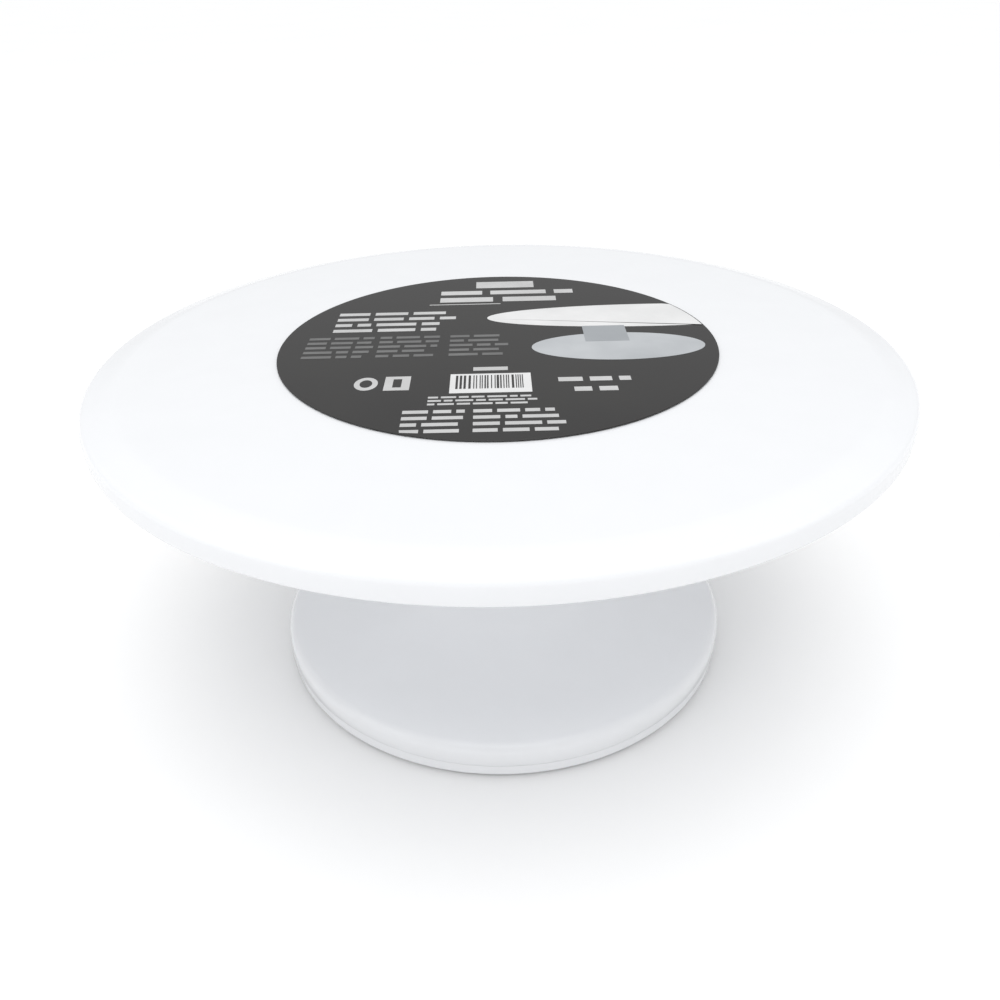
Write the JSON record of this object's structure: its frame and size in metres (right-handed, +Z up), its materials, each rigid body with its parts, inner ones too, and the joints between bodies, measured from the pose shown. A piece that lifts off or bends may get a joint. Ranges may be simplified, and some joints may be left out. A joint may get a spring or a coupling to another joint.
{
  "type": "cake turntable",
  "caption": "Round cake decorating turntable: a flat plate with a short rim that spins freely on a short pedestal with a dished round base.",
  "frame": {"origin": "centre of the circle that the feet stand on, on the ground", "axes": "+Z up, along the spin axis; +X and +Y pass through two of the feet"},
  "size_m": [0.305, 0.305, 0.1357],
  "materials": {
    "white_coating": "satin white coating",
    "bright_steel": "ground steel",
    "bronze": "plain bronze bush",
    "zinc_plate": "zinc plated",
    "black_rubber": "matte",
    "brass_cage": "pressed brass",
    "printed_card": "dark coated card"
  },
  "bodies": {
    "stand": {"base_shell": "white_coating", "base_ring": "white_coating", "bottom_plate": "zinc_plate", "base_screw_1": "bright_steel", "base_screw_2": "bright_steel", "base_screw_3": "bright_steel", "base_screw_4": "bright_steel", "foot_1": "black_rubber", "foot_2": "black_rubber", "foot_3": "black_rubber", "foot_4": "black_rubber", "upper_bush": "bronze", "lower_bush": "bronze", "thrust_race_lower": "bright_steel"},
    "ball_set": {"ball_cage": "brass_cage", "ball_1": "bright_steel", "ball_2": "bright_steel", "ball_3": "bright_steel", "ball_4": "bright_steel", "ball_5": "bright_steel", "ball_6": "bright_steel", "ball_7": "bright_steel", "ball_8": "bright_steel"},
    "turntable": {"top_plate": "white_coating", "label_card": "printed_card", "hub_flange": "white_coating", "spindle": "bright_steel", "thrust_race_upper": "bright_steel", "retaining_washer": "bright_steel", "lock_nut": "bright_steel"}
  },
  "joints": [
    {"name": "turntable_spin", "type": "hinge", "parent": "stand", "child": "turntable", "pos_m": [0, 0, 0.1211], "axis": [0, 0, 1], "continuous": true},
    {"name": "ball_set_spin", "type": "hinge", "parent": "stand", "child": "ball_set", "pos_m": [0, 0, 0.1211], "axis": [0, 0, 1], "continuous": true}
  ],
  "couplings": [
    {"joint": "ball_set_spin", "follows": "turntable_spin", "ratio": 0.5}
  ]
}
